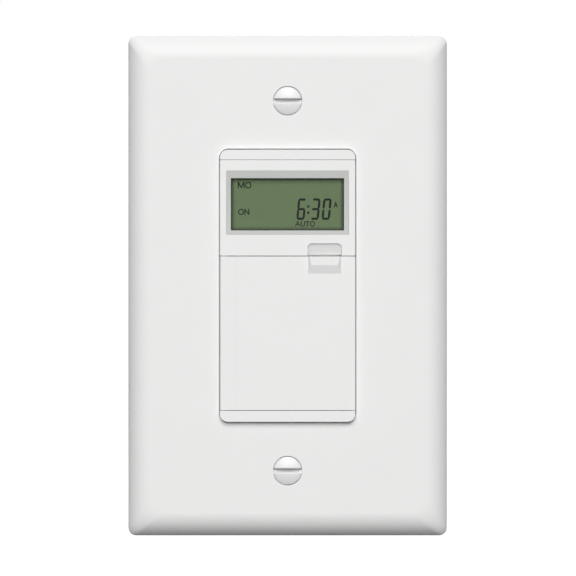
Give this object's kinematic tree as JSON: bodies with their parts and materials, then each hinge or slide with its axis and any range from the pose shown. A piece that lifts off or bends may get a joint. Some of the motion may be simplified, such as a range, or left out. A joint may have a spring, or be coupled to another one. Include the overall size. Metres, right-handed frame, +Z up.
{
  "type": "timer light switch",
  "caption": "White wall timer switch for a light: oversize plate, grey-framed digital display, and a left-hinged door over setting keys, on a steel strap with a rear case.",
  "frame": {"origin": "midway between the two box screws, on the wall plane", "axes": "+Z up, -Y out of the wall towards the viewer, +X to the viewer's right"},
  "size_m": [0.0834, 0.0416, 0.131],
  "materials": {
    "white_plastic": "fine satin",
    "white_enamel": "gloss enamel on steel",
    "zinc_steel": "zinc plated",
    "fibre": "plain pressed fibre",
    "green_steel": "green dyed zinc",
    "grey_plastic": "satin",
    "clear_plastic": "polished clear acrylic",
    "display_glass": "polished",
    "reflector_foil": "satin",
    "ivory_plastic": "plain",
    "contact_rubber": "plain",
    "board_laminate": "solder mask",
    "black_plastic": "plain",
    "plated_can": "nickel plated",
    "brass_parts": "bright",
    "relay_plastic": "moulded",
    "capacitor_resin": "moulded",
    "capacitor_sleeve": "shrunk sleeve",
    "varistor_resin": "dipped",
    "case_plastic": "light texture",
    "key_plastic": "satin"
  },
  "bodies": {
    "switch": {"wall_plate": "white_plastic", "plate_screws": "white_enamel", "mounting_strap": "zinc_steel", "box_screws": "zinc_steel", "screw_retainers": "fibre", "ground_screw": "green_steel", "front_housing": "white_plastic", "display_cover": "white_plastic", "display_bezel": "grey_plastic", "display_window": "clear_plastic", "front_glass": "display_glass", "rear_glass": "display_glass", "reflector": "reflector_foil", "display_holder": "ivory_plastic", "contact_strip": "contact_rubber", "control_board": "board_laminate", "tact_switches": "black_plastic", "controller_chip": "black_plastic", "clock_crystal": "plated_can", "backup_cell": "plated_can", "cell_tabs": "plated_can", "link_header": "black_plastic", "link_pins": "brass_parts", "power_board": "board_laminate", "relay": "relay_plastic", "film_capacitor": "capacitor_resin", "filter_capacitors": "capacitor_sleeve", "varistor": "varistor_resin", "fuse": "plated_can", "rear_case": "case_plastic", "case_screws": "zinc_steel", "terminal_plates": "brass_parts", "live_screws": "brass_parts", "neutral_screw": "zinc_steel"},
    "door": {"door": "white_plastic"},
    "manual": {"manual_key": "key_plastic", "manual_plunger": "black_plastic"},
    "program": {"program_key": "key_plastic", "program_plunger": "black_plastic"},
    "clock": {"clock_key": "key_plastic", "clock_plunger": "black_plastic"},
    "day": {"day_key": "key_plastic", "day_plunger": "black_plastic"},
    "mode": {"mode_key": "key_plastic", "mode_plunger": "black_plastic"},
    "hour": {"hour_key": "key_plastic", "hour_plunger": "black_plastic"},
    "minute": {"minute_key": "key_plastic", "minute_plunger": "black_plastic"},
    "reset": {"reset_key": "key_plastic", "reset_plunger": "black_plastic"}
  },
  "joints": [
    {"name": "door_hinge", "type": "hinge", "parent": "switch", "child": "door", "pos_m": [-0.0168, -0.0069, -0.01244], "axis": [0, 0, -1], "range_deg": [0, 120]},
    {"name": "manual_press", "type": "slide", "parent": "switch", "child": "manual", "axis": [0, 1, 0], "range_m": [0, 0.0005], "stiffness_N_per_m": 300, "springref_m": -0.0005},
    {"name": "program_press", "type": "slide", "parent": "switch", "child": "program", "axis": [0, 1, 0], "range_m": [0, 0.0005], "stiffness_N_per_m": 300, "springref_m": -0.0005},
    {"name": "clock_press", "type": "slide", "parent": "switch", "child": "clock", "axis": [0, 1, 0], "range_m": [0, 0.0005], "stiffness_N_per_m": 300, "springref_m": -0.0005},
    {"name": "day_press", "type": "slide", "parent": "switch", "child": "day", "axis": [0, 1, 0], "range_m": [0, 0.0005], "stiffness_N_per_m": 300, "springref_m": -0.0005},
    {"name": "mode_press", "type": "slide", "parent": "switch", "child": "mode", "axis": [0, 1, 0], "range_m": [0, 0.0005], "stiffness_N_per_m": 300, "springref_m": -0.0005},
    {"name": "hour_press", "type": "slide", "parent": "switch", "child": "hour", "axis": [0, 1, 0], "range_m": [0, 0.0005], "stiffness_N_per_m": 300, "springref_m": -0.0005},
    {"name": "minute_press", "type": "slide", "parent": "switch", "child": "minute", "axis": [0, 1, 0], "range_m": [0, 0.0005], "stiffness_N_per_m": 300, "springref_m": -0.0005},
    {"name": "reset_press", "type": "slide", "parent": "switch", "child": "reset", "axis": [0, 1, 0], "range_m": [0, 0.0005], "stiffness_N_per_m": 300, "springref_m": -0.0005}
  ]
}
